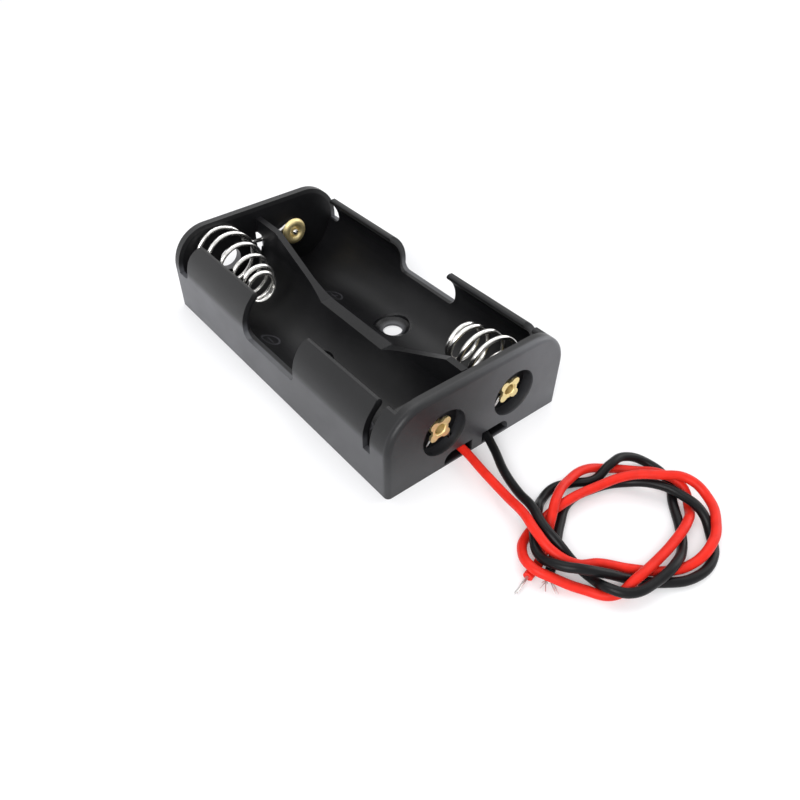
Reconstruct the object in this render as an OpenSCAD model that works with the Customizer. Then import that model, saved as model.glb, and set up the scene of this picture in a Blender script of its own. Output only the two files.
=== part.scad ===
// Two-bay holder for AA cells, wired in series, with two loose leads.
// X runs across the cells, Y along them and Z up. The origin is the middle of the housing's underside.
// The wall with the leads is the near wall, at -Y. Millimetres throughout.

/* [Housing] */
// Overall length along the cells
body_l = 58; // [56:0.5:66]
// Height of the end walls and of the side tabs
body_h = 13.8; // [13.4:0.1:15.5]
// Diameter of each cell bay
bay_d = 14.4; // [14.2:0.1:15]
// Thickness of the rib between the two bays
divider_t = 1.1; // [0.9:0.1:1.6]
// Thickness of the side walls and tabs
wall_t = 1.1; // [0.9:0.1:1.5]
// Thickness of the floor under the middle of each bay
floor_t = 1; // [0.8:0.1:1.4]
// Radius of the rounded upper corners of the section
corner_r = 6.2; // [5.6:0.1:6.6]
// Radius on the outer edges of the near wall
edge_r = 0.7; // [0.3:0.1:0.9]
// Radius on the outer edges of the far wall
far_edge_r = 0.3; // [0.2:0.1:0.7]

/* [End walls] */
// Thickness of the near wall's face plate
face_t = 1.8; // [1.5:0.1:2.2]
// Thickness of the inner block behind the face plate
block_t = 1.85; // [1.6:0.05:2.4]
// Height of the inner block
block_h = 11.5; // [10.8:0.1:12.4]
// Thickness of the far wall
far_t = 1.5; // [1.3:0.1:2]
// Distance of each rivet from the middle of the housing
rivet_x = 6.4; // [6.2:0.1:7.2]
// Height of the near rivets
near_rivet_z = 6.7; // [6.3:0.1:7.2]
// Height of the far eyelet
eyelet_z = 7.3; // [6.6:0.1:7.8]
// Radius of the round pockets in the near face
pocket_r = 3.7; // [3.5:0.1:3.9]
// Radius of the unused contact hole in the far wall
spare_hole_r = 2; // [1.6:0.1:2.4]
// Height of the unused contact hole
spare_hole_z = 6.1; // [5.6:0.1:6.6]

/* [Side tabs] */
// Length of the near pair of tabs
near_tab_l = 16.5; // [14:0.5:18]
// Length of the open window between the tabs
window_l = 13.8; // [10:0.2:15]
// Length of the far pair of tabs
far_tab_l = 18; // [15:0.2:18.4]
// Slit between the near wall and the near tabs
near_slit = 1.5; // [1:0.1:2]
// Height of the sill in the window and of the near slits' floors
sill_h = 5.9; // [5:0.1:6.6]
// Height of the floors of the gaps beside the far wall
far_gap_h = 6.9; // [6:0.1:7.4]
// Angle up the rounded corner at which the tabs' lips end
lip_angle = 54; // [46:1:66]

/* [Divider] */
// Height of the divider beside the end walls
divider_h = 11.8; // [10.8:0.1:12.6]
// Height of the divider in the middle
divider_low = 5.4; // [4.6:0.1:7]
// Length of the divider's slope at each end
slope_l = 13.6; // [11:0.2:15]
// Length of the divider's level shelf next to the near wall
shelf_l = 3.2; // [2:0.1:4]
// Length of the low stretch of the divider
low_l = 16; // [13:0.5:18]
// Width of the slot in the far wall behind the divider
far_slot_w = 1.8; // [1.4:0.1:2.4]
// Height of the top of that slot
far_slot_top = 9.2; // [8.6:0.1:10]

/* [Screw holes] */
// Diameter of the screw clearance hole
screw_d = 3.3; // [2.9:0.1:3.6]
// Diameter of the countersink at the floor
sink_d = 5.7; // [5.2:0.1:6.2]
// Depth of the countersink
sink_depth = 0.6; // [0.4:0.05:0.7]

/* [Lead openings] */
// Half width of the lug between the two lead openings
lug_half = 0.95; // [0.7:0.05:1.2]
// Distance of the openings' outer ends from the middle
opening_x = 6; // [5:0.1:6.6]
// Height of the lead openings' tops
opening_h = 2.2; // [2:0.1:2.5]
// Thickness of the thin sill under the openings
opening_sill = 0.3; // [0.2:0.05:0.4]
// Diameter of the leads over their insulation
lead_d = 1.25; // [1.1:0.05:1.3]
// Diameter of the stranded conductor
core_d = 0.6; // [0.5:0.05:0.75]

/* [Springs] */
// Diameter of the spring wire
spring_wire = 0.75; // [0.6:0.05:0.9]
// Free length of the far spring
far_spring_l = 14; // [11:0.2:15]
// Radius of the far spring's widest turn, at the middle of the wire
far_base_r = 4.9; // [4.2:0.1:5.2]
// Radius of the far spring's end turn
far_tip_r = 2.5; // [2.3:0.1:3.2]
// Free length of the near spring
near_spring_l = 9; // [7.5:0.1:10.5]
// Radius of the near spring's widest turn
near_base_r = 4.2; // [3.8:0.1:4.6]
// Radius of the near spring's end turn
near_tip_r = 3; // [2.6:0.1:3.4]

/* [Rivets] */
// Outer radius of each rivet's barrel
barrel_r = 1.2; // [1.1:0.05:1.35]
// Bore radius of each rivet
rivet_bore_r = 0.85; // [0.7:0.05:0.9]
// Reach of the turned-out petals from the rivet's axis
petal_reach = 2.1; // [1.9:0.05:2.4]
// Width of one petal
petal_w = 1.4; // [0.9:0.05:1.4]
// Radius of the positive contact's head
head_r = 2.4; // [2.1:0.1:2.8]
// Radius of the eyelet's flange
eyelet_r = 2.4; // [2.2:0.1:2.8]
// Height of the eyelet's domed flange
eyelet_dome = 0.6; // [0.45:0.05:0.8]
// Thickness of the rivets' sheet brass
brass_t = 0.35; // [0.3:0.05:0.45]

/* [Hidden] */
$fn = 48;
eps = 0.01;

// Overall section, worked out from the bays and walls; each bay bites a little into the rib's flat face
rib_bite = 0.05;
bay_r = bay_d / 2;
bay_x = divider_t / 2 + bay_r - rib_bite;
body_w = 2 * (bay_x + bay_r + wall_t);
bay_z = floor_t + bay_r;
corner_x = body_w / 2 - corner_r;
corner_z = body_h - corner_r;

// Stations along the length
near_y = -body_l / 2;
far_y = body_l / 2;
face_back = near_y + face_t;
bay_near = face_back + block_t;
bay_far = far_y - far_t;
near_tab_y = bay_near + near_slit;
far_tab_y = near_tab_y + near_tab_l + window_l;
far_tab_end = far_tab_y + far_tab_l;
slope_near = bay_near + shelf_l;
low_near = slope_near + slope_l;
low_far = low_near + low_l;
slope_far = low_far + slope_l;

// Underside relief between the bays, and the screw holes' place along the length
relief_half = 3.5;
relief_gap = 3;
screw_y = -body_l / 2 + 28.6;

// Tab corner radii in side view: upper near, upper far and foot
near_tab_r = 2.2;
far_tab_near_r = 2;
far_tab_far_r = 3.6;
foot_r = 1.4;

// Where the leads pass the near face
lead_z = 1.4;
red_x = -2.7;
black_x = 1.75;
petal_lift = core_d + 0.05;
core_y = face_back - core_d / 2 - 0.02;
groove_depth = core_d + 0.25;
groove_y = face_back + core_d / 2;
climb_x = rivet_x - 2;
climb_z = near_rivet_z - pocket_r + 1.5;
lead_end_y = face_back - 0.2;

// Clearance between a barrel and its hole
rivet_fit = 0.03;

// Height of both springs' axes, place of the far spring's, and the turns between their closed ends
spring_z = bay_z - 0.4;
far_spring_x = -bay_x - 0.5;
far_turns = 4.3;
near_turns = 3;

// Bare length at each lead's free end
bare_l = 3;

// Route of each lead's middle line, with Y measured from the near face: out of its opening, along the
// bench and twice round the loose coil, over and under itself and the other lead
red_route = [[red_x, face_t - 0.2, lead_z], [red_x, 0, lead_z],
    [-3.5, -5, 1.5], [-4.5, -10.5, 2], [-5.4, -14, 2.9], [-6.5, -17, 3.25], [-6.7, -20, 2.6],
    [-5.5, -22.8, 2], [-3, -24.3, 1.6], [0, -26.8, 0.65], [3, -29.6, 0.65], [6, -31, 0.95],
    [9.5, -31, 1.95], [13, -29.3, 1.95], [15.5, -26.5, 2], [15.3, -23.2, 3.05], [12.8, -20.6, 3.25],
    [10, -18, 2.8], [6, -16.3, 1.95], [0.5, -15.5, 1.95], [-3, -15.2, 0.8], [-6, -15.6, 0.65],
    [-8.7, -17.2, 1.3], [-9.9, -19.8, 1.95], [-8.7, -22.5, 1.5], [-6.7, -25.2, 0.65],
    [-4.4, -28, 0.65], [-1.3, -28.5, 1.9], [2, -28.4, 1.95], [6, -28, 1.95], [10.2, -27.1, 1.95],
    [13.6, -25.3, 0.65], [15, -22.8, 1.7], [14.4, -20, 1.9], [13, -17, 0.9], [10.6, -14.3, 0.65],
    [7.5, -13.1, 1.5], [4, -13.3, 2.1], [-0.5, -14.9, 3.1], [-2.6, -16.2, 2.3], [-4.5, -17.4, 0.7],
    [-7.5, -19.2, 0.65], [-10.5, -20, 0.65]];
black_route = [[black_x, face_t - 0.2, lead_z], [black_x, 0.2, lead_z],
    [0.8, -2.4, 1.4], [-1.4, -6.8, 1.6], [-2.8, -10.7, 2], [-3.9, -14, 3], [-5.1, -17, 3.2],
    [-5.2, -19.8, 2.4], [-4.7, -22.3, 0.7], [-4.7, -24.8, 0.65], [-5.1, -27.2, 1.9],
    [-3.7, -29.3, 1.95], [0, -30.2, 1.95], [4, -30, 2], [7.2, -28.8, 1], [9.8, -26.7, 0.65],
    [12.5, -23.7, 0.65], [15.3, -20.8, 0.65], [15.8, -17.5, 0.65], [13.3, -15, 1.75],
    [10.3, -14.8, 2], [7.4, -14.8, 1], [5, -13.3, 0.65], [2.5, -12.3, 0.65], [-0.5, -12.8, 0.7],
    [-3, -14.3, 1.8], [-6.3, -16.8, 1.9], [-8, -19.3, 2], [-7.9, -22, 3], [-6.2, -24.3, 3.2],
    [-3.6, -26.1, 2], [-1, -28, 0.65], [1.5, -30.5, 0.65], [5, -32.3, 0.65], [9, -32, 0.65],
    [12, -29.6, 0.65], [13.1, -27.1, 1.9], [13.3, -24, 2], [12.5, -21, 1.9], [10.3, -17.5, 0.75],
    [6.5, -15.7, 0.65], [2, -15.2, 0.65], [-1.6, -17, 0.65], [-4.8, -19.2, 0.65],
    [-8, -21.2, 0.65]];

// Lies a solid extruded along +Z down so that it runs along +Y, with its plan's Y as height
module along_y(y0, length) {
    translate([0, y0 + length, 0]) rotate([90, 0, 0]) linear_extrude(length) children();
}

// Extrudes a side view, drawn as Y by Z, across the whole width
module across_x(width) {
    rotate([90, 0, 90]) translate([0, 0, -width / 2]) linear_extrude(width) children();
}

// A cylinder along +Y
module rod_y(x, y0, z, r, length) {
    translate([x, y0, z]) rotate([-90, 0, 0]) cylinder(r = r, h = length);
}

// Section with square feet and rounded shoulders, grown or shrunk by grow
module section(grow = 0) {
    half = body_w / 2 + grow;
    r = corner_r + grow;
    translate([-half, -grow]) square([2 * half, corner_z + grow]);
    translate([-corner_x, 0]) square([2 * corner_x, body_h + grow]);
    for (side = [-1, 1]) translate([side * corner_x, corner_z]) circle(r);
}

// One side wall in section, ending in a rounded lip
module wall_section() {
    lip_r = corner_r - wall_t / 2;
    intersection() {
        difference() {
            section();
            section(-wall_t);
        }
        polygon([[corner_x, corner_z], [corner_x + 20 * cos(lip_angle), corner_z + 20 * sin(lip_angle)],
            [body_w, 20 * sin(lip_angle) + corner_z], [body_w, 0], [corner_x, 0]]);
    }
    translate([corner_x + lip_r * cos(lip_angle), corner_z + lip_r * sin(lip_angle)]) circle(0.42 * wall_t);
}

// Open space of both bays in section, up past the top
module bay_section() {
    for (side = [0, 1]) mirror([side, 0]) difference() {
        union() {
            translate([bay_x, bay_z]) circle(bay_r);
            translate([-eps, bay_z]) square([body_w / 2 + 1, body_h]);
        }
        wall_section();
    }
}

// Side view of one tab, with its upper corners rounded and its feet filleted into the sill
module tab_side(y0, length, near_r, far_r) {
    top = max(near_r, far_r);
    translate([y0, 0]) {
        square([length, body_h - top]);
        translate([0, 0]) square([near_r, body_h - near_r]);
        translate([length - far_r, 0]) square([far_r, body_h - far_r]);
        translate([near_r, 0]) square([length - near_r - far_r, body_h]);
        translate([near_r, body_h - near_r]) circle(near_r);
        translate([length - far_r, body_h - far_r]) circle(far_r);
    }
}

// A concave fillet at a tab's foot, turned to face +Y or -Y
module foot_side(y, z, facing) {
    translate([y, z]) mirror([facing < 0 ? 1 : 0, 0]) difference() {
        translate([-eps, -eps]) square([foot_r, foot_r]);
        translate([foot_r, foot_r]) circle(1.04 * foot_r);
    }
}

// Side view of the whole housing: end walls, sill and two tabs
module side_view() {
    translate([near_y, 0]) square([body_l, sill_h]);
    translate([near_y, 0]) square([face_t + block_t, body_h]);
    translate([bay_far, 0]) square([far_t, body_h]);
    tab_side(near_tab_y, near_tab_l, near_tab_r, near_tab_r);
    tab_side(far_tab_y, far_tab_l, far_tab_near_r, far_tab_far_r);
    translate([far_tab_end - eps, 0]) square([bay_far - far_tab_end + 2 * eps, far_gap_h]);
    foot_side(near_tab_y + near_tab_l, sill_h, 1);
    foot_side(far_tab_y, sill_h, -1);
    foot_side(far_tab_end, far_gap_h, 1);
}

// Cuts that round the outer edge of the near wall; mirrored, they serve the far wall
module edge_rounding(r) {
    for (side = [0, 1]) mirror([side, 0, 0]) {
        translate([body_w / 2 - r, near_y - eps, -eps]) difference() {
            cube([r + eps, r + eps, corner_z + eps]);
            translate([0, r + eps, -1]) cylinder(r = r, h = body_h);
        }
        translate([corner_x, near_y, corner_z]) rotate([-90, 0, 0]) rotate([0, 0, -90])
            rotate_extrude(angle = 90) difference() {
                translate([corner_r - r, -eps]) square([r + 1, r + eps]);
                translate([corner_r - r, r]) circle(r);
            }
    }
    translate([-corner_x, near_y - eps, body_h - r]) difference() {
        cube([2 * corner_x, r + eps, r + eps]);
        translate([-1, r + eps, 0]) rotate([0, 90, 0]) cylinder(r = r, h = 2 * corner_x + 2);
    }
}

// Side view of the rib between the bays: high at both ends and cut low in the middle
module divider_side() {
    polygon([[bay_near - eps, 0], [bay_near - eps, divider_h], [slope_near, divider_h],
        [low_near, divider_low], [low_far, divider_low], [slope_far, divider_h],
        [bay_far + eps, divider_h], [bay_far + eps, 0]]);
}

// Open space over the rib, from the middle of one bay to the middle of the other
module over_divider() {
    across_x(2 * bay_x) difference() {
        translate([bay_near, 0]) square([bay_far - bay_near, body_h + 1]);
        divider_side();
    }
}

// Groove that lets a conductor climb from its opening into the pocket
module lead_groove(from_x, to_x) {
    rise = climb_z - lead_z;
    reach = sqrt(pow(to_x - from_x, 2) + pow(rise, 2));
    translate([from_x, groove_y, lead_z]) rotate([0, atan2(to_x - from_x, rise), 0]) {
        translate([-groove_depth / 2, -groove_depth, 0]) cube([groove_depth, 2 * groove_depth, reach]);
        rotate([90, 0, 0]) translate([0, 0, -groove_depth]) cylinder(d = groove_depth, h = 2 * groove_depth);
    }
}

module lead_opening() {
    round_r = opening_h - 0.7;
    along_y(near_y - 1, face_t + 1) difference() {
        union() {
            translate([lug_half, 0]) square([opening_x - round_r - lug_half, opening_h]);
            translate([lug_half, 0]) square([opening_x - lug_half, opening_h - round_r]);
            translate([opening_x - round_r, opening_h - round_r]) circle(round_r);
        }
        translate([0, opening_sill - body_h]) square([body_w, body_h]);
    }
}

module housing() {
    color("#26272a") {
        difference() {
            intersection() {
                along_y(near_y, body_l) section();
                across_x(body_w + 2) side_view();
            }
            along_y(bay_near, bay_far - bay_near) bay_section();
            over_divider();
            // step behind the face plate, down to the top of the inner block
            intersection() {
                along_y(face_back, block_t + eps) bay_section();
                translate([-body_w / 2, near_y, block_h]) cube([body_w, face_t + block_t + 1, body_h]);
            }
            edge_rounding(edge_r);
            mirror([0, 1, 0]) edge_rounding(far_edge_r);
            // constant wall under the bays
            along_y(bay_near + relief_gap, bay_far - bay_near - 2 * relief_gap) difference() {
                translate([-relief_half, -1]) square([2 * relief_half, bay_z]);
                for (side = [-1, 1]) translate([side * bay_x, bay_z]) circle(bay_r + floor_t);
            }
            for (side = [0, 1]) mirror([side, 0, 0]) {
                rod_y(rivet_x, near_y - 1, near_rivet_z, pocket_r, face_t + 1);
                rod_y(rivet_x, near_y, near_rivet_z, barrel_r + rivet_fit, face_t + block_t + 1);
                lead_opening();
                translate([bay_x, screw_y, -1]) cylinder(d = screw_d, h = floor_t + 2);
                translate([bay_x, screw_y, floor_t - sink_depth])
                    cylinder(d1 = screw_d, d2 = sink_d, h = sink_depth);
                translate([bay_x, screw_y, floor_t]) cylinder(d = sink_d, h = 1);
            }
            lead_groove(red_x, -climb_x);
            lead_groove(black_x, climb_x);
            rod_y(rivet_x, bay_far - 1, eyelet_z, barrel_r + rivet_fit, far_t + 2);
            rod_y(rivet_x, far_y - 0.5, eyelet_z, eyelet_r, 1);
            rod_y(-rivet_x, bay_far - 1, spare_hole_z, spare_hole_r, far_t + 2);
            translate([-far_slot_w / 2, bay_far - 1, floor_t + 0.5])
                cube([far_slot_w, far_t + 2, far_slot_top - floor_t - 0.5]);
        }
        difference() {
            across_x(divider_t) divider_side();
            translate([-divider_t, bay_far - spring_wire - 1, floor_t + 0.5])
                cube([2 * divider_t, spring_wire + 1 + eps, far_slot_top - floor_t - 0.5]);
        }
    }
}

function unit(v) = v / norm(v);

// Direction of a path at one of its points
function path_dir(path, i) = unit(path[min(i + 1, len(path) - 1)] - path[max(i - 1, 0)]);

// A vector square to v, to start a tube's section from
function square_to(v) = unit(cross(v, abs(v[2]) < 0.8 ? [0, 0, 1] : [1, 0, 0]));

// One round tube swept along a path, its section carried along without twist
module tube(path, r, sides = 8) {
    count = len(path);
    dirs = [for (i = [0:count - 1]) path_dir(path, i)];
    sideways = [for (i = 0, n = square_to(dirs[0]); i < count;
        i = i + 1, n = i < count ? unit(n - (n * dirs[i]) * dirs[i]) : n) n];
    points = [for (i = [0:count - 1]) for (k = [0:sides - 1])
        path[i] + r * (cos(360 * k / sides) * sideways[i] + sin(360 * k / sides) * cross(dirs[i], sideways[i]))];
    walls = [for (i = [0:count - 2]) for (k = [0:sides - 1])
        [i * sides + k, (i + 1) * sides + k, (i + 1) * sides + (k + 1) % sides, i * sides + (k + 1) % sides]];
    start_cap = [[for (k = [0:sides - 1]) k]];
    end_cap = [[for (k = [sides - 1:-1:0]) (count - 1) * sides + k]];
    polyhedron(points = points, faces = concat(walls, start_cap, end_cap), convexity = 10);
}

// Part of a flat ring in an XZ plane
function arc_y(x, z, y, r, from, to, steps) =
    [for (i = [0:steps]) let (a = from + (to - from) * i / steps) [x + r * cos(a), y, z + r * sin(a)]];

// How far a coil has come forward after some turns: flat, then steady, then closed to its end
function pitch_drop(turn, flat, full, last, free_l) =
    let (closed = spring_wire * 1.04, run = (free_l - spring_wire - (last - full) * closed) / (full - flat))
    turn < flat ? 0 : turn < full ? (turn - flat) * run : (full - flat) * run + (turn - full) * closed;

// Conical spring of the left bay. Its wire runs on through the divider to the eyelet, and loops round it.
module far_spring() {
    wire_r = spring_wire / 2;
    wall_y = bay_far - wire_r - 0.01;
    loop_r = barrel_r + wire_r + 0.04;
    loop = arc_y(rivet_x, eyelet_z, wall_y, loop_r, -120, 90, 10);
    link = [[rivet_x - 1.4, wall_y, eyelet_z + loop_r - 0.25], [rivet_x - 2.6, wall_y, spring_z + 0.4],
        [rivet_x - 4, wall_y, spring_z + 0.1], [0, wall_y, spring_z],
        [far_spring_x + far_base_r + 1.1, wall_y, spring_z]];
    taper_turn = 1.6;
    last_turn = far_turns + 1.65;
    steps = round(last_turn * 16);
    coil = [for (i = [1:steps]) let (turn = last_turn * i / steps,
            taper = max(0, min(1, (turn - taper_turn) / (far_turns + 0.95 - taper_turn))),
            r = far_base_r + (far_tip_r - far_base_r) * taper,
            drop = pitch_drop(turn, 0.2, far_turns, last_turn, far_spring_l))
        [far_spring_x + r * cos(360 * turn), wall_y - drop, spring_z + r * sin(360 * turn)]];
    color("#c9c9c4") tube(concat(loop, link, coil), wire_r);
}

// Spring of the right bay, seated round the negative rivet
module near_spring() {
    wire_r = spring_wire / 2;
    wall_y = bay_near + wire_r + 0.01;
    loop_r = barrel_r + wire_r + 0.04;
    loop = arc_y(rivet_x, near_rivet_z, wall_y, loop_r, -330, -90, 10);
    spiral = [for (i = [1:12]) let (t = i / 12, a = -90 + 270 * t, r = loop_r + (near_base_r - loop_r) * t)
        [rivet_x + (bay_x - rivet_x) * t + r * cos(a), wall_y, near_rivet_z + (spring_z - near_rivet_z) * t + r * sin(a)]];
    last_turn = near_turns + 1.3;
    steps = round(last_turn * 16);
    coil = [for (i = [1:steps]) let (turn = last_turn * i / steps,
            r = near_base_r + (near_tip_r - near_base_r) * pow(min(1, turn / near_turns), 2),
            drop = pitch_drop(turn, 0.1, near_turns, last_turn, near_spring_l))
        [bay_x - r * cos(360 * turn), wall_y + drop, spring_z - r * sin(360 * turn)]];
    color("#c9c9c4") tube(concat(loop, spiral, coil), wire_r);
}

// Tube rivet along +Y with a flange at y = 0 and its barrel going to +Y; the far end is left plain
module flanged_barrel(flange_r, length) {
    rotate([-90, 0, 0]) rotate_extrude() {
        difference() {
            union() {
                translate([rivet_bore_r, 0]) square([flange_r - rivet_bore_r - brass_t / 2, brass_t]);
                translate([flange_r - brass_t / 2, brass_t / 2]) circle(d = brass_t);
                translate([rivet_bore_r, 0]) square([barrel_r - rivet_bore_r, length]);
            }
            translate([rivet_bore_r, 0]) circle(brass_t * 0.6);
        }
    }
}

// Four petals turned out from a barrel that comes towards -Y; their backs lie at y = 0
module petals() {
    flare = 0.5;
    rotate([0, 45, 0]) intersection() {
        rotate([-90, 0, 0]) rotate_extrude() difference() {
            union() {
                translate([rivet_bore_r, -brass_t]) square([petal_reach - rivet_bore_r, brass_t]);
                translate([rivet_bore_r, -brass_t]) square([barrel_r - rivet_bore_r, brass_t + petal_lift]);
            }
            translate([rivet_bore_r, -brass_t]) circle(flare * brass_t);
        }
        union() {
            rod_y(0, -1, 0, barrel_r + 0.15, 3);
            for (turn = [0:90:270]) rotate([0, turn, 0]) {
                translate([0, -1, -petal_w / 2]) cube([petal_reach - petal_w / 2, 1.5, petal_w]);
                rod_y(petal_reach - petal_w / 2, -1, 0, petal_w / 2, 1.5);
            }
        }
    }
}

module near_rivet(x, flange_r, flange_lift) {
    length = block_t + petal_lift + flange_lift;
    color("#c8a24a") {
        translate([x, bay_near + flange_lift + brass_t, near_rivet_z]) mirror([0, 1, 0])
            flanged_barrel(flange_r, length + brass_t);
        translate([x, face_back - petal_lift, near_rivet_z]) petals();
    }
}

// Left bay: its flange is the cell's positive contact, and its petals clamp the red conductor
module positive_rivet() {
    near_rivet(-rivet_x, head_r, 0);
}

// Right bay: its flange clamps the near spring, and its petals clamp the black conductor
module negative_rivet() {
    near_rivet(rivet_x, head_r - 0.2, spring_wire + 0.03);
}

// Far eyelet of the right bay: positive contact, clamping the end of the far spring's wire
module link_eyelet() {
    lift = spring_wire + 0.03;
    flange_w = eyelet_r - rivet_bore_r;
    dome_r = (pow(flange_w / 2, 2) + pow(eyelet_dome, 2)) / (2 * eyelet_dome);
    color("#c8a24a") translate([rivet_x, bay_far - lift - eyelet_dome, eyelet_z]) rotate([-90, 0, 0])
        rotate_extrude() {
            intersection() {
                translate([rivet_bore_r + flange_w / 2, dome_r]) circle(dome_r);
                translate([rivet_bore_r, 0]) square([flange_w, eyelet_dome]);
            }
            translate([rivet_bore_r, eyelet_dome - eps])
                square([barrel_r - rivet_bore_r, lift + far_t - 0.5 + 2 * eps]);
            translate([rivet_bore_r, eyelet_dome + lift + far_t - 0.5]) difference() {
                square([eyelet_r - 0.3 - rivet_bore_r, brass_t]);
                translate([0, brass_t]) circle(brass_t * 0.6);
            }
        }
}

// Conductor between a lead's stripped end and its rivet: up its groove, then half a turn under the petals
module inner_conductor(lead_x, side) {
    wrap_r = barrel_r + core_d / 2 + 0.05;
    deep_y = face_back + core_d / 2 - 0.05;
    foot = [lead_x, deep_y, lead_z];
    climb = [side * climb_x - lead_x, 0, climb_z - lead_z];
    start = [[lead_x, lead_end_y, lead_z], [lead_x, lead_end_y + 0.3, lead_z], foot + 0.15 * climb,
        foot + 0.7 * climb, [side * climb_x, core_y, climb_z]];
    wrap = [for (a = [50:20:130]) [side * rivet_x - side * wrap_r * cos(a), core_y, near_rivet_z - wrap_r * sin(a)]];
    tail = [[side * (rivet_x + 1.7), core_y, near_rivet_z - 1.8], [side * (rivet_x + 2.2), core_y, near_rivet_z - 2.3]];
    tube(concat(start, wrap, tail), core_d / 2);
}

module red_conductor() {
    color("#b9a58c") inner_conductor(red_x, -1);
}

module black_conductor() {
    color("#b9a58c") inner_conductor(black_x, 1);
}

module red_lead() {
    color("#d8251c") translate([0, near_y, 0]) tube(red_route, lead_d / 2);
}

module black_lead() {
    color("#1c1c1e") translate([0, near_y, 0]) tube(black_route, lead_d / 2);
}

// Stripped end of a lead, running on from the last two points of its route
module bare_end(route, length) {
    last = route[len(route) - 1];
    ahead = unit(last - route[len(route) - 2]);
    tip = last + ahead * length - [0, 0, (lead_d - core_d) / 2];
    color("#b4b4b0") translate([0, near_y, 0]) tube([last, last + ahead * length / 2, tip], core_d / 2);
}

module red_bare_end() {
    bare_end(red_route, bare_l);
}

module black_bare_end() {
    bare_end(black_route, bare_l);
}

housing();
far_spring();
near_spring();
link_eyelet();
positive_rivet();
negative_rivet();
red_conductor();
black_conductor();
red_lead();
black_lead();
red_bare_end();
black_bare_end();
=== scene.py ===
"""Two-bay AA cell holder with its springs, rivets and two loosely coiled leads.

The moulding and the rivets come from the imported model; springs, conductors and leads are modelled here.
"""

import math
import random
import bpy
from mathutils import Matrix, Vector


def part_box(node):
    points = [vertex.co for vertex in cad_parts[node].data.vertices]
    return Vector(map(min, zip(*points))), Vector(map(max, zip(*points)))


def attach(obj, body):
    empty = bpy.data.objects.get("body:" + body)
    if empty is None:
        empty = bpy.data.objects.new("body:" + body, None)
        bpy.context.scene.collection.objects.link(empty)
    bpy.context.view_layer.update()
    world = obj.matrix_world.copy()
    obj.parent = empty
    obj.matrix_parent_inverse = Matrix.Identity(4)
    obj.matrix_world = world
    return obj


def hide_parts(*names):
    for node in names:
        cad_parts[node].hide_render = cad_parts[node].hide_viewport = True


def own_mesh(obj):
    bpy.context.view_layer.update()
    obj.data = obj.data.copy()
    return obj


bl_info = {
    "name": "Two-bay cell holder",
    "version": (1, 0, 0),
    "blender": (4, 5, 0),
    "location": "View3D > Sidebar > Cell holder",
    "description": "Dresses the moulded holder and models its springs, conductors and leads",
    "category": "Object",
}

import bpy
from bpy.props import FloatProperty, FloatVectorProperty, IntProperty, PointerProperty
from mathutils import Matrix, Vector

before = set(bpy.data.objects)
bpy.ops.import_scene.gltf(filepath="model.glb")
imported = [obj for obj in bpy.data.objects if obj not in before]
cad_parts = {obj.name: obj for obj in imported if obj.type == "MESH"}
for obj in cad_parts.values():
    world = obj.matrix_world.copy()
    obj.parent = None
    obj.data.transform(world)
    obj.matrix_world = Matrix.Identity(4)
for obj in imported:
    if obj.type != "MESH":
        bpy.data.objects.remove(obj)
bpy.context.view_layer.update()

# Places of the moulding that the springs, conductors and finishes follow, in metres
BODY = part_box("housing")
NEAR_Y, FAR_Y = BODY[0][1], BODY[1][1]
BAY_X = 0.0077
BAY_Z = 0.0082
BAY_R = 0.0072
FACE_BACK = NEAR_Y + 0.0018
BAY_NEAR = FACE_BACK + 0.00185
BAY_FAR = FAR_Y - 0.0015
RIVET_X = 0.0064
RIVET_Z = 0.0067
BARREL_R = 0.0012
POCKET_R = 0.0037
SCREW_Y = NEAR_Y + 0.0286
SINK_R = 0.0030
EYELET_Z = 0.0073
SPRING_Z = 0.0078
FAR_SPRING_X = -0.0082
LEAD_Z = 0.0014
RED_X = -0.0027
BLACK_X = 0.00175

# Where the moulding's finish and its painted shade and sheen change: the shell's inner flank, the centre and radius
# of its inner corner, the openings' ends and top, the heights between which the outside wall turns in, and the
# width of a soft change
FLANK_X = 0.0154
CORNER_X = 0.0098
CORNER_Z = 0.0076
CORNER_R = 0.0056
OPENING_NEAR_X = 0.0010
OPENING_FAR_X = 0.0058
OPENING_TOP = 0.0021
WALL_TOP = 0.0070
TURN_TOP = 0.0088
FADE = 0.0003

# Raised polarity signs: the ring's radius, half the ring's width, half a stroke's width and length, and how wide
# a line's soft side is
RING_R = 0.0015
RING_HALF = 0.00012
STROKE_HALF = 0.0001
STROKE_REACH = 0.0008
LINE_FADE = 0.0001

# How far round the wall the signs sit, then each sign's side, Y and whether it is a plus
SIGN_ARC = -0.003
SIGNS = ((-1, -0.0165, True), (-1, 0.0085, False), (1, 0.0125, True), (1, -0.0105, False))

# Springs: points in a turn, turns of each coil, and the near coil's base radius and how much it narrows
TURN_STEPS = 16
FAR_TURNS = 6
NEAR_TURNS = 4.3
NEAR_BASE_R = 0.0042
NEAR_TAPER = 0.0012

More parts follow.
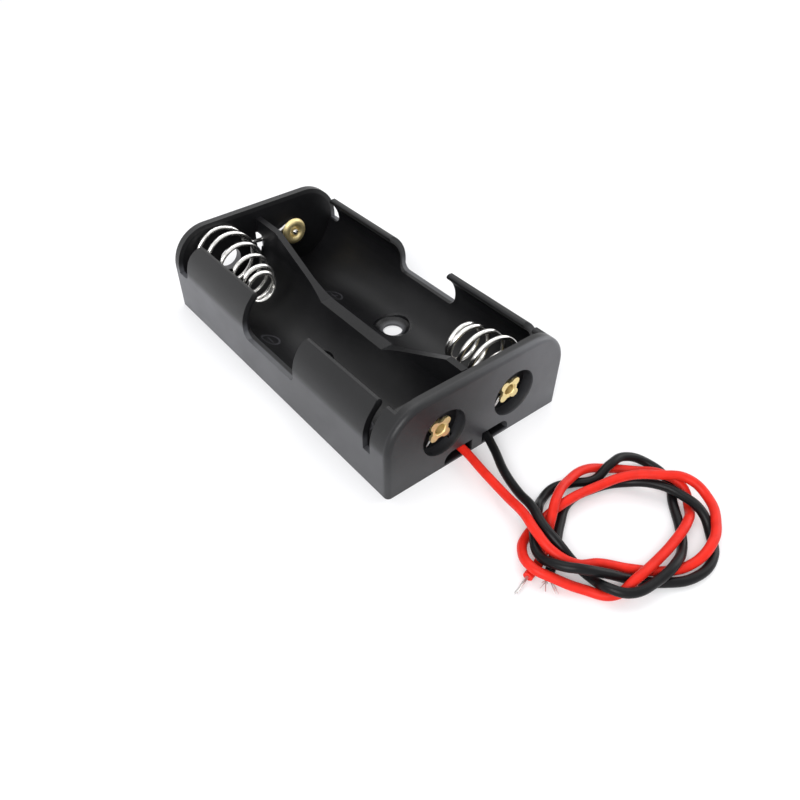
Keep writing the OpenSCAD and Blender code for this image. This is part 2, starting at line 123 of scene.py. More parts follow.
# Each lead's middle line, from inside its opening to the end of its insulation: millimetres, turned to metres,
# with Y measured from the near face
RED_ROUTE = [Vector((x / 1000, NEAR_Y + y / 1000, z / 1000)) for x, y, z in (
    (-2.7, 1.6, 1.4), (-2.7, 0, 1.4), (-3.5, -5, 1.5), (-4.5, -10.5, 2), (-5.4, -14, 2.9),
    (-6.5, -17, 3.25), (-6.7, -20, 2.6), (-5.5, -22.8, 2), (-3, -24.3, 1.6), (0, -26.8, 0.65),
    (3, -29.6, 0.65), (6, -31, 0.95), (9.5, -31, 1.95), (13, -29.3, 1.95), (15.5, -26.5, 2),
    (15.3, -23.2, 3.05), (12.8, -20.6, 3.25), (10, -18, 2.8), (6, -16.3, 1.95), (0.5, -15.5, 1.95),
    (-3, -15.2, 0.8), (-6, -15.6, 0.65), (-8.7, -17.2, 1.3), (-9.9, -19.8, 1.95), (-8.7, -22.5, 1.5),
    (-6.7, -25.2, 0.65), (-4.4, -28, 0.65), (-1.3, -28.5, 1.9), (2, -28.4, 1.95), (6, -28, 1.95),
    (10.2, -27.1, 1.95), (13.6, -25.3, 0.65), (15, -22.8, 1.7), (14.4, -20, 1.9), (13, -17, 0.9),
    (10.6, -14.3, 0.65), (7.5, -13.1, 1.5), (4, -13.3, 2.1), (-0.5, -14.9, 3.1), (-2.6, -16.2, 2.3),
    (-4.5, -17.4, 0.7), (-7.5, -19.2, 0.65), (-10.5, -20, 0.65))]
BLACK_ROUTE = [Vector((x / 1000, NEAR_Y + y / 1000, z / 1000)) for x, y, z in (
    (1.75, 1.6, 1.4), (1.75, 0.2, 1.4), (0.8, -2.4, 1.4), (-1.4, -6.8, 1.6), (-2.8, -10.7, 2),
    (-3.9, -14, 3), (-5.1, -17, 3.2), (-5.2, -19.8, 2.4), (-4.7, -22.3, 0.7), (-4.7, -24.8, 0.65),
    (-5.1, -27.2, 1.9), (-3.7, -29.3, 1.95), (0, -30.2, 1.95), (4, -30, 2), (7.2, -28.8, 1),
    (9.8, -26.7, 0.65), (12.5, -23.7, 0.65), (15.3, -20.8, 0.65), (15.8, -17.5, 0.65),
    (13.3, -15, 1.75), (10.3, -14.8, 2), (7.4, -14.8, 1), (5, -13.3, 0.65), (2.5, -12.3, 0.65),
    (-0.5, -12.8, 0.7), (-3, -14.3, 1.8), (-6.3, -16.8, 1.9), (-8, -19.3, 2), (-7.9, -22, 3),
    (-6.2, -24.3, 3.2), (-3.6, -26.1, 2), (-1, -28, 0.65), (1.5, -30.5, 0.65), (5, -32.3, 0.65),
    (9, -32, 0.65), (12, -29.6, 0.65), (13.1, -27.1, 1.9), (13.3, -24, 2), (12.5, -21, 1.9),
    (10.3, -17.5, 0.75), (6.5, -15.7, 0.65), (2, -15.2, 0.65), (-1.6, -17, 0.65), (-4.8, -19.2, 0.65),
    (-8, -21.2, 0.65))]


class HolderSettings(bpy.types.PropertyGroup):
    """Sizes and colours that a user may change"""

    wire: FloatProperty(name="Spring wire", description="Diameter of both springs' wire",
                        default=0.00075, min=0.0005, max=0.001, unit="LENGTH", subtype="DISTANCE")
    lead: FloatProperty(name="Lead", description="Diameter of each lead over its insulation",
                        default=0.00125, min=0.001, max=0.0014, unit="LENGTH", subtype="DISTANCE")
    core: FloatProperty(name="Conductor", description="Diameter of the stranded conductor",
                        default=0.0006, min=0.0004, max=0.0008, unit="LENGTH", subtype="DISTANCE")
    strands: IntProperty(name="Strands", description="Number of fine wires in a conductor",
                         default=9, min=5, max=12)
    plastic: FloatVectorProperty(name="Moulding", description="Colour of the moulding's outside",
                                 default=(0.050, 0.051, 0.056), subtype="COLOR", min=0, max=1)
    # The bays' colour is the moulding's colour darkened as painted shade in the recesses
    shaded_bay: FloatVectorProperty(name="Bays", description="Colour of the moulding inside the bays",
                             default=(0.0050, 0.0050, 0.0056), subtype="COLOR", min=0, max=1)
    red: FloatVectorProperty(name="Red lead", description="Colour of the positive lead",
                             default=(0.62, 0.019, 0.010), subtype="COLOR", min=0, max=1)
    black: FloatVectorProperty(name="Black lead", description="Colour of the negative lead",
                               default=(0.0045, 0.0045, 0.0052), subtype="COLOR", min=0, max=1)
    brass: FloatVectorProperty(name="Brass", description="Colour of the rivets and the eyelet",
                               default=(0.86, 0.72, 0.38), subtype="COLOR", min=0, max=1)
    nickel: FloatVectorProperty(name="Nickel", description="Colour of the plated spring wire",
                                default=(0.80, 0.79, 0.77), subtype="COLOR", min=0, max=1)
    tin: FloatVectorProperty(name="Tinned copper", description="Colour of the conductors' strands",
                             default=(0.72, 0.71, 0.70), subtype="COLOR", min=0, max=1)


class Socket:
    """A value in a material; sums on it add Math nodes."""

    def __init__(self, shader, link):
        self.shader = shader
        self.link = link

    def sum(self, operation, *others):
        """The result of one Math node on this value and others."""
        return self.shader.node("ShaderNodeMath", {"operation": operation}, dict(enumerate((self,) + others)))

    def __add__(self, other):
        return self.sum("ADD", other)

    __radd__ = __add__

    def __mul__(self, other):
        return self.sum("MULTIPLY", other)

    __rmul__ = __mul__

    def __sub__(self, other):
        return self.sum("SUBTRACT", other)

    def __rsub__(self, other):
        return self.shader.node("ShaderNodeMath", {"operation": "SUBTRACT"}, {0: other, 1: self})

    def __truediv__(self, other):
        return self.sum("DIVIDE", other)

    def __abs__(self):
        return self.sum("ABSOLUTE")

    def low(self, other):
        """The lower of this and other."""
        return self.sum("MINIMUM", other)

    def high(self, other):
        """The higher of this and other."""
        return self.sum("MAXIMUM", other)

    def step(self, start, end):
        """0 below start, 1 above end and smooth between; start may be the higher."""
        return self.shader.node("ShaderNodeMapRange", {"interpolation_type": "SMOOTHSTEP"},
                                {"Value": self, "From Min": start, "From Max": end})


class Shader:
    """A material built from a Principled BSDF."""

    def __init__(self, name):
        self.material = bpy.data.materials.new(name)
        self.material.use_nodes = True
        self.tree = self.material.node_tree
        self.tree.nodes.clear()
        self.output = self.tree.nodes.new("ShaderNodeOutputMaterial")
        self.surface = self.tree.nodes.new("ShaderNodeBsdfPrincipled")
        self.tree.links.new(self.surface.outputs[0], self.output.inputs["Surface"])
        self.coords = None

    def node(self, kind, settings=None, inputs=None, output=0):
        """Adds a node, sets it, then feeds its sockets with values or links."""
        made = self.tree.nodes.new(kind)
        for key, value in (settings or {}).items():
            setattr(made, key, value)
        for key, value in (inputs or {}).items():
            if isinstance(value, Socket):
                self.tree.links.new(value.link, made.inputs[key])
            else:
                made.inputs[key].default_value = value
        return Socket(self, made.outputs[output])

    def place(self):
        """Object coordinates, in metres."""
        if self.coords is None:
            self.coords = self.node("ShaderNodeTexCoord", output="Object")
        return self.coords

    def axes(self):
        """The three object coordinates as values."""
        parts = self.tree.nodes.new("ShaderNodeSeparateXYZ")
        self.tree.links.new(self.place().link, parts.inputs[0])
        return [Socket(self, out) for out in parts.outputs]

    def noise(self, scale, detail=2.0, rough=0.5, stretch=(1, 1, 1)):
        """Noise from 0 to 1, with scale in features per metre."""
        vector = self.place()
        if stretch != (1, 1, 1):
            vector = self.node("ShaderNodeMapping", {"vector_type": "POINT"}, {"Vector": vector, "Scale": stretch})
        return self.node("ShaderNodeTexNoise", {"noise_dimensions": "3D"},
                         {"Vector": vector, "Scale": scale, "Detail": detail, "Roughness": rough})

    def blend(self, mask, low, high):
        """One colour where mask is 0 and another where it is 1."""
        made = self.tree.nodes.new("ShaderNodeMix")
        made.data_type = "RGBA"
        for key, value in ((0, mask), (6, low), (7, high)):
            if isinstance(value, Socket):
                self.tree.links.new(value.link, made.inputs[key])
            elif key == 0:
                made.inputs[key].default_value = value
            else:
                made.inputs[key].default_value = (*value[:3], 1)
        return Socket(self, made.outputs[2])

    def bump(self, height, distance, strength=1.0):
        """A normal from a height from 0 to 1, distance metres deep."""
        self.feed("Normal", self.node("ShaderNodeBump", {},
                                      {"Height": height, "Distance": distance, "Strength": strength}))

    def feed(self, key, value):
        """Sets or links a socket of the surface."""
        if isinstance(value, Socket):
            self.tree.links.new(value.link, self.surface.inputs[key])
        elif key in ("Base Color", "Emission Color"):
            self.surface.inputs[key].default_value = (*value[:3], 1)
        else:
            self.surface.inputs[key].default_value = value


def sign_stroke(across, along):
    """A short straight line, with the distances across it and along it from its middle."""
    return (abs(across).step(STROKE_HALF + LINE_FADE, STROKE_HALF)
            * abs(along).step(STROKE_REACH + LINE_FADE, STROKE_REACH))


def polarity(shader, axes, side, y, positive):
    """A ring with a plus or minus in it, laid round a bay's wall; 1 on its lines."""
    x, along, z = axes
    turn = shader.node("ShaderNodeMath", {"operation": "ARCTAN2"}, {0: x - side * BAY_X, 1: BAY_Z - z})
    around = turn * BAY_R - SIGN_ARC
    ahead = along - y
    reach = (around * around + ahead * ahead).sum("SQRT")
    ring = abs(reach - RING_R).step(RING_HALF + LINE_FADE, RING_HALF)
    stroke = sign_stroke(around, ahead)
    if positive:
        stroke = stroke.high(sign_stroke(ahead, around))
    inside = (x * side).step(0.0004, 0.0006) * z.step(0.0136, 0.0134)
    return ring.high(stroke) * inside


def moulded_black(settings):
    """Black moulded plastic.

    Outside it has a fine grain. It has painted sheen, paler low on the walls and to the right of the near face, and
    painted shade, darker on the turned-in tabs and the near face's upper left. Bays, pockets and openings are
    smoother and darker still with painted shade.
    """
    s = Shader("moulded_black")
    x, y, z = axes = s.axes()
    wide = abs(x)
    grain = s.noise(9000, 3, 0.6)
    cloud = s.noise(160, 4, 0.6)
    flow = s.noise(420, 3, 0.55, (1, 0.25, 1))
    scuff = s.noise(2600, 5, 0.75).step(0.62, 0.72)

    # Bays, rivet pockets and lead openings, which the dark inside shader fills with painted shade
    shoulder = (wide - CORNER_X).high(0)
    rise = (z - CORNER_Z).high(0)
    inward = (shoulder * shoulder + rise * rise).sum("SQRT")
    inside = wide.step(FLANK_X, FLANK_X - FADE) * inward.step(CORNER_R, CORNER_R - FADE) * z.step(0.0004, 0.0008)
    in_bay = inside * y.step(BAY_NEAR - FADE, BAY_NEAR) * y.step(BAY_FAR + FADE, BAY_FAR)
    off_x, off_z = wide - RIVET_X, z - RIVET_Z
    pocket = (off_x * off_x + off_z * off_z).sum("SQRT").step(POCKET_R + 0.0001, POCKET_R - 0.0001)
    opening = (wide.step(OPENING_FAR_X + 0.0002, OPENING_FAR_X) * wide.step(OPENING_NEAR_X - 0.0002, OPENING_NEAR_X)
               * z.step(OPENING_TOP + 0.0002, OPENING_TOP))
    in_face = pocket.high(opening) * y.step(NEAR_Y + 0.0001, NEAR_Y + 0.0004) * y.step(BAY_NEAR, BAY_NEAR - FADE)
    shaded_recess = in_bay.high(in_face)

    # Outside: painted sheen and painted shade by place, the sheen low on the walls and to the right of the near
    # face
    face = y.step(NEAR_Y + 0.0012, NEAR_Y + 0.0006)
    right = x.step(-0.010, 0.014)
    high_up = z.step(WALL_TOP, TURN_TOP)
    # Painted shade: the near face's upper left and the turned-in tabs, more towards the near end, take the dark
    # inside shader
    face_shade = (1 - right) * z.step(0.0020, 0.0090) * face * 0.7
    tab_shade = high_up * (1 - face) * (y.step(0.010, -0.015) * 0.25 + 0.25)
    # Painted sheen: the lower walls, more towards the far end, and the near face towards the right are made paler,
    # varied at random by the cloud
    wall_sheen = (1 - high_up) * (1 - face) * (y.step(-0.012, 0.024) * 0.5 + 0.5)
    painted_sheen = (wall_sheen + face * (right * 0.7 + 0.15)) * (cloud.step(0.3, 0.75) * 0.3 + 0.75)
    # The outside colour runs from the plastic's colour darkened as painted shade to it brightened as painted sheen
    outside = s.blend(painted_sheen, [c * 0.16 for c in settings.plastic], [c * 1.8 for c in settings.plastic])
    end_rim = abs(y).step(0.0268, 0.0283) * z.step(0.0112, 0.0130)
    side_rim = wide.step(0.0150, 0.0159) * cloud.step(0.5, 0.62)
    s.feed("Base Color", s.blend(scuff * end_rim.high(side_rim) * 0.45, outside, (0.24, 0.24, 0.25)))
    s.feed("Roughness", flow * 0.12 + grain * 0.10 + 0.30)
    s.feed("IOR", 1.5)
    s.feed("Specular IOR Level", 0.5)
    marks = None
    for side, place, positive in SIGNS:
        sign = polarity(s, axes, side, place, positive)
        marks = marks.high(sign) if marks else sign
    s.bump(grain * 0.25 + flow * 0.2 - marks, 0.00012, 0.8)

    # Inside: smoother, darker as painted shade and less glossy, and glossy in the countersinks
    shaded_bay = s.tree.nodes.new("ShaderNodeBsdfPrincipled")
    shaded_bay.inputs["IOR"].default_value = 1.5
    shaded_bay.inputs["Specular IOR Level"].default_value = 0.22
    floor = s.blend(cloud.step(0.3, 0.75), settings.shaded_bay, [c * 1.5 for c in settings.shaded_bay])
    # The raised signs are painted lighter than the bay floor, a painted highlight where they catch the light
    s.tree.links.new(s.blend(marks * 0.8, floor, [c * 11 for c in settings.shaded_bay]).link, shaded_bay.inputs["Base Color"])
    off_x, off_y = wide - BAY_X, y - SCREW_Y
    sink = (off_x * off_x + off_y * off_y).sum("SQRT").step(SINK_R + 0.0004, SINK_R)
    s.tree.links.new((flow * 0.16 + 0.26 - sink * 0.18).link, shaded_bay.inputs["Roughness"])
    s.tree.links.new(s.surface.inputs["Normal"].links[0].from_socket, shaded_bay.inputs["Normal"])
    # The mix lays the dark inside shader as painted shade in the bays, pockets and openings, on the near face's
    # upper left and on the tabs
    both = s.node("ShaderNodeMixShader", {}, {0: shaded_recess.high(face_shade).high(tab_shade),
                                              1: Socket(s, s.surface.outputs[0]), 2: Socket(s, shaded_bay.outputs[0])})
    s.tree.links.new(both.link, s.output.inputs["Surface"])
    return s.material


def plated_metal(name, colour, roughness, tarnish):
    """Plated or bare metal with faint draw marks and a few dull spots."""
    s = Shader(name)
    spots = s.noise(900, 4, 0.65)
    fine = s.noise(7000, 2, 0.5)
    s.feed("Base Color", s.blend(spots.step(0.45, 0.8) * tarnish, colour, [c * 0.45 for c in colour]))
    s.feed("Metallic", 1.0)
    s.feed("Roughness", spots * 0.14 + fine * 0.06 + roughness)
    s.bump(fine, 0.00002, 0.5)
    return s.material


def insulation(name, colour, roughness, gloss):
    """Soft extruded insulation with a slight unevenness."""
    s = Shader(name)
    wave = s.noise(700, 3, 0.5)
    fine = s.noise(6000, 2, 0.5)
    s.feed("Base Color", s.blend(wave.step(0.3, 0.75), colour, [min(1, c * 1.18) for c in colour]))
    s.feed("Roughness", wave * 0.12 + fine * 0.06 + roughness)
    s.feed("IOR", 1.5)
    s.feed("Specular IOR Level", gloss)
    s.bump(wave * 0.6 + fine * 0.15, 0.00005, 0.6)
    return s.material


def material(name):
    """A finish made before, by its name."""
    return bpy.data.materials[name]


def finish(obj, name):
    """Gives an object one finish."""
    obj.data.materials.clear()
    obj.data.materials.append(material(name))


def wires(name, lines, radius, sides=6, steps=6, swell=None):
    """Round wires through lists of points, as one curve object; swell scales the radius at each point."""
    bpy.ops.object.select_all(action="DESELECT")
    bpy.ops.curve.primitive_bezier_curve_add(location=(0, 0, 0))
    obj = bpy.context.object
    obj.name = name
    curve = obj.data
    curve.splines.clear()
    for line in lines:
        spline = curve.splines.new("BEZIER")
        spline.bezier_points.add(len(line) - 1)
        for knot, co, scale in zip(spline.bezier_points, line, swell or [1] * len(line)):
            knot.co = co
            knot.radius = scale
            knot.handle_left_type = knot.handle_right_type = "AUTO"
    curve.dimensions = "3D"
    curve.twist_mode = "MINIMUM"
    curve.bevel_depth = radius
    curve.bevel_resolution = sides
    curve.resolution_u = steps
    curve.use_fill_caps = True
    bpy.context.view_layer.update()
    return obj


def to_mesh(obj):
    """Turns a curve object into a smooth mesh."""
    bpy.ops.object.select_all(action="DESELECT")
    obj.select_set(True)
    bpy.context.view_layer.objects.active = obj
    bpy.ops.object.convert(target="MESH")
    obj = bpy.context.object
    bpy.ops.object.shade_smooth_by_angle(angle=math.radians(40))
    return obj


def ring_points(x, y, z, radius, start, end, count):
    """Points on an arc in an XZ plane, with angles in degrees."""
    turns = [math.radians(start + (end - start) * i / count) for i in range(count + 1)]
    return [Vector((x + radius * math.cos(a), y, z + radius * math.sin(a))) for a in turns]


def table_value(table, at):
    """A value read between the rows of a table of (position, value)."""
    for (a, va), (b, vb) in zip(table, table[1:]):
        if at <= b:
            t = max(0, (at - a) / (b - a))
            return va + (vb - va) * t
    return table[-1][1]


def bundle(path, count, spread, pitch, seed, fray=0.0, taper=0.0, sway=0.0):
    """Lines of a twisted conductor round a path.

    Towards the far end fray opens them, sway leans the opening towards +X and taper draws them in.
    """
    rng = random.Random(seed)
    lengths = [0.0]
    for a, b in zip(path, path[1:]):
        lengths.append(lengths[-1] + (b - a).length)
    total = lengths[-1]
    lines = []
    for k in range(count):
        inner = k == 0
        phase = 2 * math.pi * k / max(1, count - 1)
        lean = Vector((rng.uniform(-1, 1) + sway, rng.uniform(-1, 1), rng.uniform(-0.3, 0.6)))
        side = (path[1] - path[0]).orthogonal().normalized()
        line = []
        for i, point in enumerate(path):
            ahead = (path[min(i + 1, len(path) - 1)] - path[max(i - 1, 0)]).normalized()
            side = (side - ahead * side.dot(ahead)).normalized()
            turn = phase + 2 * math.pi * lengths[i] / pitch
            out = math.cos(turn) * side + math.sin(turn) * ahead.cross(side)
            open_up = (lengths[i] / total) ** 2 * fray
            width = spread * (1 - taper * (lengths[i] / total) ** 6)
            line.append(point + out * (0 if inner else width) + lean * open_up)
        lines.append(line)
    return lines


def between(a, b, count):
    """Evenly spaced points from a to b."""
    return [a.lerp(b, i / count) for i in range(count + 1)]


class HOLDER_OT_camera(bpy.types.Operator):
    """Place the camera above the leads' end, looking down along the bays"""

    bl_idname = "holder.camera"
    bl_label = "Camera"

    def execute(self, context):
        place = (-0.05448, -0.0780, 0.0740)
        turn, drop, roll = math.radians(37.34), math.radians(44.53), math.radians(-0.73)
        ahead = Vector((math.sin(turn) * math.cos(drop), math.cos(turn) * math.cos(drop), -math.sin(drop)))
        right = Vector((math.cos(turn), -math.sin(turn), 0))
        up = right.cross(ahead)
        level_right = math.cos(roll) * right + math.sin(roll) * up
        level_up = math.cos(roll) * up - math.sin(roll) * right
        bpy.ops.object.select_all(action="DESELECT")
        bpy.ops.object.camera_add(location=(0, 0, 0))
        camera = context.object
        camera.name = "holder_camera"
        facing = Matrix((level_right, level_up, -ahead)).transposed().to_4x4()
        camera.matrix_world = Matrix.Translation(place) @ facing
        camera.data.sensor_width = 36
        camera.data.lens = 32.86
        camera.data.shift_x = 0.0252
        camera.data.shift_y = 0.0405
        camera.data.clip_start = 0.002
        camera.data.clip_end = 20
        context.scene.camera = camera
        return {"FINISHED"}


class HOLDER_OT_finishes(bpy.types.Operator):
    """Make the plastic, metal and insulation finishes"""

    bl_idname = "holder.finishes"
    bl_label = "Finishes"

    def execute(self, context):
        settings = context.scene.holder
        moulded_black(settings)
        plated_metal("nickel_plate", settings.nickel, roughness=0.12, tarnish=0.5)
        plated_metal("rivet_brass", settings.brass, roughness=0.42, tarnish=0.5)
        plated_metal("tinned_copper", settings.tin, roughness=0.25, tarnish=0.5)
        insulation("red_pvc", settings.red, roughness=0.34, gloss=0.18)
        insulation("black_pvc", settings.black, roughness=0.26, gloss=0.16)
        return {"FINISHED"}


class HOLDER_OT_leads(bpy.types.Operator):
    """Model both leads and their stripped ends"""

    bl_idname = "holder.leads"
    bl_label = "Leads"

    def execute(self, context):
        settings = context.scene.holder
        stripped, buried, end_z, strand_r = 0.0030, 0.0010, 0.0007, 0.000055
        for colour, route, spread, fray in (("red", RED_ROUTE, 0.00013, 0.0001),
                                            ("black", BLACK_ROUTE, 0.00016, 0.0011)):
            last = route[-1]
            ahead = (last - route[-2]).normalized()
            end = last + ahead * stripped
            end.z = end_z
            lines = bundle(between(last - ahead * buried, end, 8), settings.strands, spread, pitch=0.006,
                           seed=len(colour), fray=fray, sway=0.8)
            strands = to_mesh(wires(colour + "_strands", lines, strand_r, sides=2, steps=4))
            finish(strands, "tinned_copper")
            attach(strands, "holder")
            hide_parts(colour + "_bare_end")
            lead = wires(colour + "_wire", [route], settings.lead / 2, sides=8, steps=10)
            finish(lead, colour + "_pvc")
            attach(lead, "holder")
            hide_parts(colour + "_lead")
        return {"FINISHED"}


class HOLDER_OT_conductors(bpy.types.Operator):
    """Model the stranded conductors that run from the openings to the rivets"""

    bl_idname = "holder.conductors"
    bl_label = "Conductors"

    def execute(self, context):
        settings = context.scene.holder
        core = settings.core
        wrap_r = BARREL_R + core / 2 + 0.00005
        deep_y = FACE_BACK + core / 2 - 0.00005
        top_y = FACE_BACK - core / 2 - 0.00002
        for colour, lead_x, side in (("red", RED_X, -1), ("black", BLACK_X, 1)):
            foot = Vector((lead_x, deep_y, LEAD_Z))
            climb = Vector((side * (RIVET_X - 0.002) - lead_x, 0, RIVET_Z - POCKET_R + 0.0015 - LEAD_Z))
            path = [Vector((lead_x, FACE_BACK - 0.0002, LEAD_Z)), Vector((lead_x, FACE_BACK + 0.0001, LEAD_Z)),
                    foot + 0.15 * climb, foot + 0.7 * climb, foot + climb + Vector((0, top_y - deep_y, 0))]
            path += ring_points(side * RIVET_X, top_y, RIVET_Z, wrap_r, -90 - side * 40, -90 + side * 40, 4)
            path += [Vector((side * (RIVET_X + 0.0014), top_y, RIVET_Z - 0.0020)),
                     Vector((side * (RIVET_X + 0.0018), top_y, RIVET_Z - 0.0026))]
            fine = []
            for a, b in zip(path, path[1:]):
                fine += between(a, b, 2)[:-1]
            strands = bundle(fine + [path[-1]], settings.strands, spread=0.00014 - side * 0.00003, pitch=0.005,
                             seed=5 + side, taper=0.85)
            piece = to_mesh(wires(colour + "_core", strands, 0.000075, sides=2, steps=3))
            finish(piece, "tinned_copper")
            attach(piece, "holder")
            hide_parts(colour + "_conductor")
        return {"FINISHED"}


class HOLDER_OT_springs(bpy.types.Operator):
    """Model both conical contact springs and the wire that links the bays"""

    bl_idname = "holder.springs"
    bl_label = "Springs"

    def execute(self, context):
        settings = context.scene.holder
        r = settings.wire / 2
        wall = BAY_FAR - r - 0.00001
        loop_r = BARREL_R + r + 0.00004
        # Turns from the start, then how far the wire has left the wall and how wide the coil is
        drop_at = [(0, 0), (0.25, 0), (1.25, 0.0031), (2.25, 0.00645), (3.25, 0.0096), (4.25, 0.01215),
                   (5.25, 0.0131), (6.0, 0.01325)]
        radius_at = [(0, 0.0048), (0.25, 0.0048), (1.25, 0.0050), (2.25, 0.0045), (3.25, 0.00385),
                     (4.25, 0.0032), (5.25, 0.0025), (6.0, 0.0025)]
        coil = []
        for i in range(TURN_STEPS * FAR_TURNS):
            turn = i / TURN_STEPS
            radius, drop = table_value(radius_at, turn), table_value(drop_at, turn)
            a = 2 * math.pi * turn
            coil.append(Vector((FAR_SPRING_X + radius * math.cos(a), wall - drop, SPRING_Z + radius * math.sin(a))))
        link = ring_points(RIVET_X, wall, EYELET_Z, loop_r, -150, 95, 12)
        link += [Vector((x, wall, z)) for x, z in (
            (RIVET_X - 0.0014, EYELET_Z + loop_r - 0.00025), (RIVET_X - 0.0026, SPRING_Z + 0.0004),
            (RIVET_X - 0.004, SPRING_Z + 0.0001), (0, SPRING_Z), (-0.0020, SPRING_Z + 0.0001))]
        link += coil[:2]
        self.spring("far_coil", coil, r, "far_spring", "far_spring_travel", BAY_FAR, keep=0.17)
        self.seat("far_link", link, r, "far_spring")
        tail = [Vector((RIVET_X, BAY_FAR + ahead, EYELET_Z))
                for ahead in (0.0010, -0.0005, -0.00115, -0.00145, -0.00163)]
        self.seat("eyelet_wire_end", tail, 0.00060, "far_spring", swell=(0.6, 1, 1, 0.8, 0.25))

        wall = BAY_NEAR + r + 0.00001
        seat = ring_points(RIVET_X, wall, RIVET_Z, loop_r, -330, -90, 12)
        for i in range(1, TURN_STEPS + 1):
            t = i / TURN_STEPS
            a = math.radians(-90 + 270 * t)
            radius = loop_r + (NEAR_BASE_R - loop_r) * t
            seat.append(Vector((RIVET_X + (BAY_X - RIVET_X) * t + radius * math.cos(a), wall,
                                RIVET_Z + (SPRING_Z - RIVET_Z) * t + radius * math.sin(a))))
        drop_at = [(0, 0), (0.1, 0), (3, 0.0074), (NEAR_TURNS, 0.0082)]
        coil = [seat[-1]]
        for i in range(1, int(TURN_STEPS * NEAR_TURNS) + 1):
            turn = i / TURN_STEPS
            radius, drop = NEAR_BASE_R - NEAR_TAPER * min(1, turn / 3) ** 2, table_value(drop_at, turn)
            a = math.pi + 2 * math.pi * turn
            coil.append(Vector((BAY_X + radius * math.cos(a), wall + drop, SPRING_Z + radius * math.sin(a))))
        self.spring("near_coil", coil, r, "near_spring", "near_spring_travel", BAY_NEAR, keep=0.24)
        self.seat("near_seat", seat + [coil[1]], r, "near_spring")
        return {"FINISHED"}

    def spring(self, name, line, radius, node, joint, anchor_y, keep):
        """A coil of spring wire with a mesh of its own."""
        piece = self.seat(name, line, radius, node)
        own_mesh(piece)

    def seat(self, name, line, radius, node, swell=None):
        """A length of spring wire."""
        piece = to_mesh(wires(name, [line], radius, sides=4, steps=4, swell=swell))
        finish(piece, "nickel_plate")
        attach(piece, "holder")
        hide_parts(node)
        return piece


class HOLDER_OT_moulding(bpy.types.Operator):
    """Finish the moulding, the rivets and the eyelet"""

    bl_idname = "holder.moulding"
    bl_label = "Moulding and rivets"

    def execute(self, context):
        finish(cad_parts["housing"], "moulded_black")
        for node in ("positive_rivet", "negative_rivet", "link_eyelet"):
            finish(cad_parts[node], "rivet_brass")
        return {"FINISHED"}


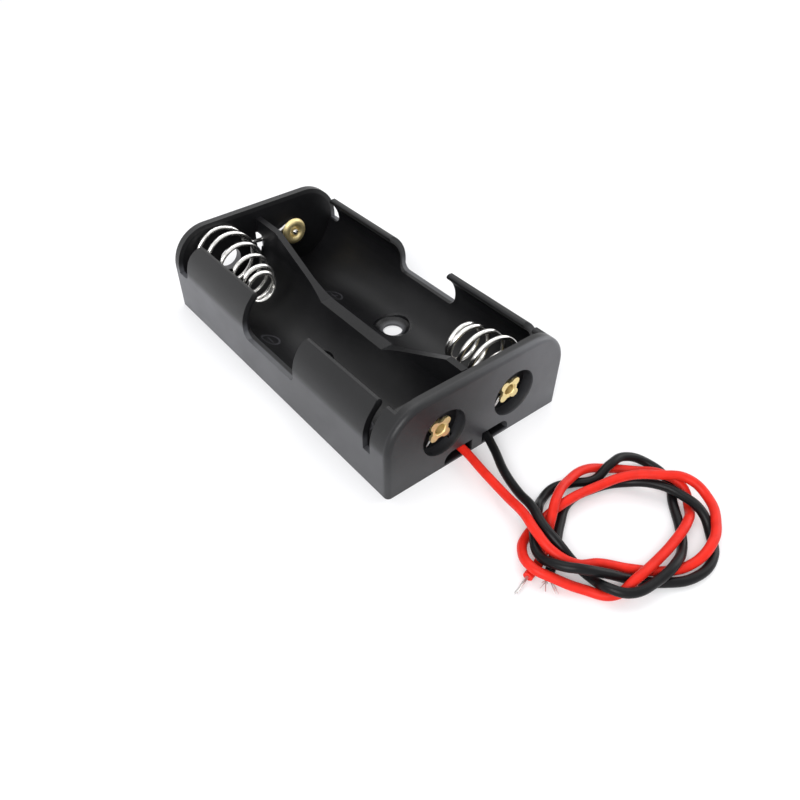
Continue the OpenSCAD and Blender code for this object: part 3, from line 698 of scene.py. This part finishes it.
class HOLDER_OT_stage(bpy.types.Operator):
    """Lay a white floor and set soft studio lamps round the holder"""

    bl_idname = "holder.stage"
    bl_label = "Stage"

    def execute(self, context):
        scene = context.scene
        scene.view_settings.view_transform = "Standard"
        bpy.ops.object.select_all(action="DESELECT")
        bpy.ops.mesh.primitive_plane_add(size=6, location=(0, 0, 0))
        floor = context.object
        floor.name = "floor"
        for vertex in floor.data.vertices:
            vertex.co.z = -0.00004
        paper = Shader("white_paper")
        seen = paper.node("ShaderNodeLightPath", output="Is Camera Ray").high(
            paper.node("ShaderNodeLightPath", output="Is Glossy Ray")).high(
            paper.node("ShaderNodeLightPath", output="Is Transmission Ray"))
        paper.feed("Base Color", (0.92, 0.92, 0.93))
        paper.feed("Roughness", 0.9)
        paper.feed("Specular IOR Level", 0.0)
        glow = paper.node("ShaderNodeEmission", {}, {"Color": (1, 1, 1, 1), "Strength": 1.0})
        x, y, _ = paper.axes()
        far = (x * x + y * y).sum("SQRT").step(0.15, 0.5)
        lit = Socket(paper, paper.surface.outputs[0])
        mixed = paper.node("ShaderNodeMixShader", {}, {0: seen * (far * 0.8 + 0.2), 1: lit, 2: glow})
        paper.tree.links.new(mixed.link, paper.output.inputs["Surface"])
        floor.data.materials.append(paper.material)

        world = bpy.data.worlds.new("studio")
        scene.world = world
        world.use_nodes = True
        tree = world.node_tree
        tree.nodes.clear()
        ambient = tree.nodes.new("ShaderNodeBackground")
        ambient.inputs["Color"].default_value = (0.97, 0.98, 1.0, 1)
        ambient.inputs["Strength"].default_value = 0.55
        backdrop = tree.nodes.new("ShaderNodeBackground")
        backdrop.inputs["Color"].default_value = (1, 1, 1, 1)
        path = tree.nodes.new("ShaderNodeLightPath")
        first = tree.nodes.new("ShaderNodeMath")
        first.operation = "MAXIMUM"
        second = tree.nodes.new("ShaderNodeMath")
        second.operation = "MAXIMUM"
        mix = tree.nodes.new("ShaderNodeMixShader")
        out = tree.nodes.new("ShaderNodeOutputWorld")
        tree.links.new(path.outputs["Is Camera Ray"], first.inputs[0])
        tree.links.new(path.outputs["Is Glossy Ray"], first.inputs[1])
        tree.links.new(first.outputs[0], second.inputs[0])
        tree.links.new(path.outputs["Is Transmission Ray"], second.inputs[1])
        tree.links.new(second.outputs[0], mix.inputs[0])
        tree.links.new(ambient.outputs[0], mix.inputs[1])
        tree.links.new(backdrop.outputs[0], mix.inputs[2])
        tree.links.new(mix.outputs[0], out.inputs["Surface"])

        for name, place, size, power in (
                ("key", (-0.34, -0.20, 0.28), 0.30, 1.9),
                ("top", (0.10, 0.16, 0.50), 0.40, 1.0),
                ("side", (0.38, -0.10, 0.22), 0.30, 0.7)):
            bpy.ops.object.select_all(action="DESELECT")
            bpy.ops.object.light_add(type="AREA", location=place)
            lamp = context.object
            lamp.name = name
            lamp.data.size = size
            lamp.data.energy = power
            lamp.rotation_euler = (Vector((0, -0.01, 0.005)) - Vector(place)).to_track_quat("-Z", "Y").to_euler()
        return {"FINISHED"}


STEPS = (HOLDER_OT_camera, HOLDER_OT_finishes, HOLDER_OT_leads, HOLDER_OT_conductors, HOLDER_OT_springs,
         HOLDER_OT_moulding, HOLDER_OT_stage)


class HOLDER_PT_panel(bpy.types.Panel):
    """Steps that build the holder"""

    bl_idname = "HOLDER_PT_panel"
    bl_label = "Cell holder"
    bl_space_type = "VIEW_3D"
    bl_region_type = "UI"
    bl_category = "Cell holder"

    def draw(self, context):
        settings = context.scene.holder
        for key in HolderSettings.__annotations__:
            self.layout.prop(settings, key)
        for step in STEPS:
            self.layout.operator(step.bl_idname)


def register():
    """Registers the settings, the steps and the panel."""
    for kind in (HolderSettings, *STEPS, HOLDER_PT_panel):
        bpy.utils.register_class(kind)
    bpy.types.Scene.holder = PointerProperty(type=HolderSettings)


def unregister():
    """Removes what register added."""
    del bpy.types.Scene.holder
    for kind in (HOLDER_PT_panel, *reversed(STEPS), HolderSettings):
        bpy.utils.unregister_class(kind)


def main():
    """Builds the holder."""
    register()
    for step in STEPS:
        group, name = step.bl_idname.split(".")
        getattr(getattr(bpy.ops, group), name)()


if __name__ == "__main__":
    main()
